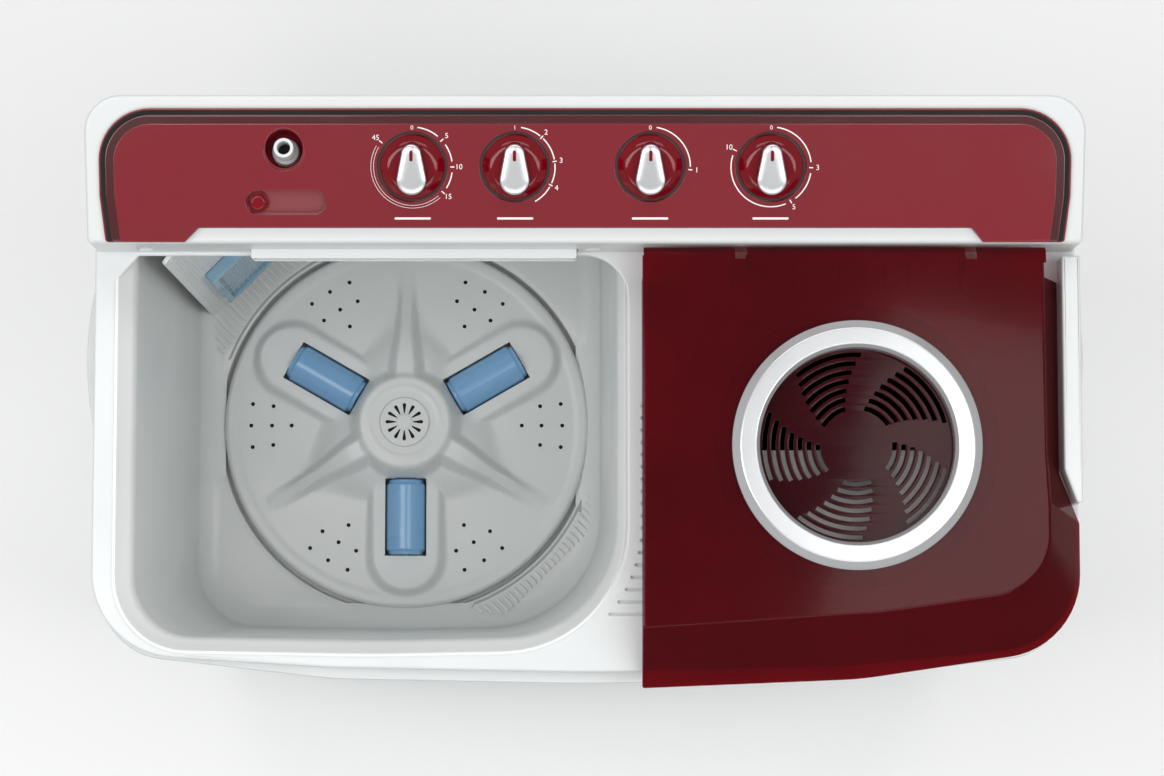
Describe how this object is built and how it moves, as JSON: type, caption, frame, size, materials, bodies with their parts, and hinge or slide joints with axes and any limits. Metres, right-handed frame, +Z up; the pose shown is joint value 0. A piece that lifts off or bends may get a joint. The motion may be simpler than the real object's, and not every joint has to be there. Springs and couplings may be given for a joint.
{
  "type": "twin tub washing machine",
  "caption": "Semi-automatic twin tub washing machine: open wash tub with pulsator, spin tub under a hinged clear lid, knob console across the back.",
  "frame": {"origin": "on the floor under the centre of the machine's bounding box", "axes": "+X to the machine's right seen from the front, +Y to the back, +Z up"},
  "size_m": [0.86, 0.488, 1.0075],
  "materials": {
    "white_body": "satin white moulded plastic",
    "grey_tub": "light grey moulded plastic",
    "red_fascia": "glossy dark red plastic",
    "red_clear": "clear dark red plastic",
    "silver_trim": "silver plated plastic",
    "blue_plastic": "blue plastic",
    "black_rubber": "matte black rubber",
    "steel": "zinc plated steel",
    "cast_metal": "cast metal",
    "black_plastic": "black moulded plastic"
  },
  "bodies": {
    "machine": {"cabinet_shell": "white_body", "top_deck": "white_body", "console_housing": "white_body", "water_inlet_nozzle": "white_body", "water_chute": "white_body", "base_tray": "grey_tub", "rear_cover": "grey_tub", "wash_tub": "grey_tub", "spin_outer_tub": "grey_tub", "drain_outlet": "grey_tub", "circulation_column": "grey_tub", "drain_cover": "grey_tub", "drain_valve_body": "grey_tub", "drain_selector_cam": "grey_tub", "console_fascia": "red_fascia", "lint_filter": "blue_plastic", "foot_front_left": "black_rubber", "foot_front_right": "black_rubber", "foot_back_left": "black_rubber", "foot_back_right": "black_rubber", "cable_gland": "black_rubber", "drive_belt": "black_rubber", "bellows_seal": "black_rubber", "drive_bracket": "steel", "suspension_spring_1": "steel", "suspension_spring_2": "steel", "suspension_spring_3": "steel", "wash_gearbox": "cast_metal", "wash_motor": "cast_metal", "spin_motor": "cast_metal", "run_capacitor": "cast_metal", "wash_timer_unit": "black_plastic", "wash_selector_switch": "black_plastic", "spin_timer_unit": "black_plastic"},
    "pulsator": {"pulsator": "grey_tub", "pulsator_cap": "grey_tub", "pulsator_shaft": "steel"},
    "roller_1": {"pulsator_roller_1": "blue_plastic"},
    "roller_2": {"pulsator_roller_2": "blue_plastic"},
    "roller_3": {"pulsator_roller_3": "blue_plastic"},
    "gearbox_pulley": {"gearbox_pulley": "cast_metal"},
    "motor_pulley": {"motor_pulley": "cast_metal"},
    "spin_basket": {"spin_basket": "grey_tub", "spin_shaft": "steel", "brake_disc": "cast_metal"},
    "brake_lever": {"brake_lever": "steel"},
    "spin_lid": {"spin_lid": "red_clear", "spin_lid_ring": "silver_trim", "lid_air_grille": "red_clear"},
    "inner_lid": {"spin_inner_lid": "grey_tub"},
    "wash_timer_knob": {"wash_timer_knob": "red_clear", "wash_timer_knob_cap": "silver_trim"},
    "wash_selector_knob": {"wash_selector_knob": "red_clear", "wash_selector_knob_cap": "silver_trim"},
    "drain_selector_knob": {"drain_selector_knob": "red_clear", "drain_selector_knob_cap": "silver_trim"},
    "spin_timer_knob": {"spin_timer_knob": "red_clear", "spin_timer_knob_cap": "silver_trim"},
    "selector_slider": {"water_selector_slider": "red_clear"},
    "drain_plunger": {"drain_plunger": "black_rubber"}
  },
  "joints": [
    {"name": "pulsator_spin", "type": "hinge", "parent": "machine", "child": "pulsator", "pos_m": [-0.1716, 0.01, 0.52], "axis": [0, 0, 1], "continuous": true},
    {"name": "gearbox_pulley_spin", "type": "hinge", "parent": "machine", "child": "gearbox_pulley", "pos_m": [-0.1716, 0.01, 0.349], "axis": [0, 0, 1], "continuous": true},
    {"name": "motor_pulley_spin", "type": "hinge", "parent": "machine", "child": "motor_pulley", "pos_m": [-0.1716, 0.16, 0.349], "axis": [0, 0, 1], "continuous": true},
    {"name": "roller_1_spin", "type": "hinge", "parent": "pulsator", "child": "roller_1", "pos_m": [-0.09452, 0.0545, 0.5115], "axis": [0.866, 0.5, 0], "continuous": true},
    {"name": "roller_2_spin", "type": "hinge", "parent": "pulsator", "child": "roller_2", "pos_m": [-0.24868, 0.0545, 0.5115], "axis": [-0.866, 0.5, 0], "continuous": true},
    {"name": "roller_3_spin", "type": "hinge", "parent": "pulsator", "child": "roller_3", "pos_m": [-0.1716, -0.079, 0.5115], "axis": [0, -1, 0], "continuous": true},
    {"name": "spin_basket_spin", "type": "hinge", "parent": "machine", "child": "spin_basket", "pos_m": [0.2265, -0.045, 0.5], "axis": [0, 0, 1], "continuous": true},
    {"name": "spin_lid_hinge", "type": "hinge", "parent": "machine", "child": "spin_lid", "pos_m": [0.2265, 0.11, 0.942], "axis": [-1, 0, 0], "range_deg": [0, 95]},
    {"name": "inner_lid_hinge", "type": "hinge", "parent": "machine", "child": "inner_lid", "pos_m": [0.2265, 0.072, 0.911], "axis": [-1, 0, 0], "range_deg": [0, 85]},
    {"name": "brake_lever_hinge", "type": "hinge", "parent": "machine", "child": "brake_lever", "pos_m": [0.3005, -0.091, 0.269], "axis": [0, 0, 1], "range_deg": [0, 2]},
    {"name": "wash_timer_turn", "type": "hinge", "parent": "machine", "child": "wash_timer_knob", "pos_m": [-0.143, 0.18688, 0.9782], "axis": [0, -0.2822, 0.9594], "range_deg": [-309, 0]},
    {"name": "wash_selector_turn", "type": "hinge", "parent": "machine", "child": "wash_selector_knob", "pos_m": [-0.058, 0.18688, 0.9782], "axis": [0, -0.2822, 0.9594], "range_deg": [-117, 0]},
    {"name": "drain_selector_turn", "type": "hinge", "parent": "machine", "child": "drain_selector_knob", "pos_m": [0.054, 0.18688, 0.9782], "axis": [0, -0.2822, 0.9594], "range_deg": [-94, 0]},
    {"name": "spin_timer_turn", "type": "hinge", "parent": "machine", "child": "spin_timer_knob", "pos_m": [0.154, 0.18688, 0.9782], "axis": [0, -0.2822, 0.9594], "range_deg": [-295, 0]},
    {"name": "selector_slide", "type": "slide", "parent": "machine", "child": "selector_slider", "axis": [1, 0, 0], "range_m": [0, 0.045]},
    {"name": "drain_plunger_lift", "type": "slide", "parent": "machine", "child": "drain_plunger", "axis": [0, 0, 1], "range_m": [0, 0.012]}
  ],
  "couplings": [
    {"joint": "gearbox_pulley_spin", "follows": "pulsator_spin", "ratio": 4},
    {"joint": "motor_pulley_spin", "follows": "pulsator_spin", "ratio": 16},
    {"joint": "inner_lid_hinge", "follows": "spin_lid_hinge", "ratio": 0.89},
    {"joint": "brake_lever_hinge", "follows": "spin_lid_hinge", "ratio": 0.021},
    {"joint": "drain_plunger_lift", "follows": "drain_selector_turn", "m_per_rad": -0.0073}
  ]
}
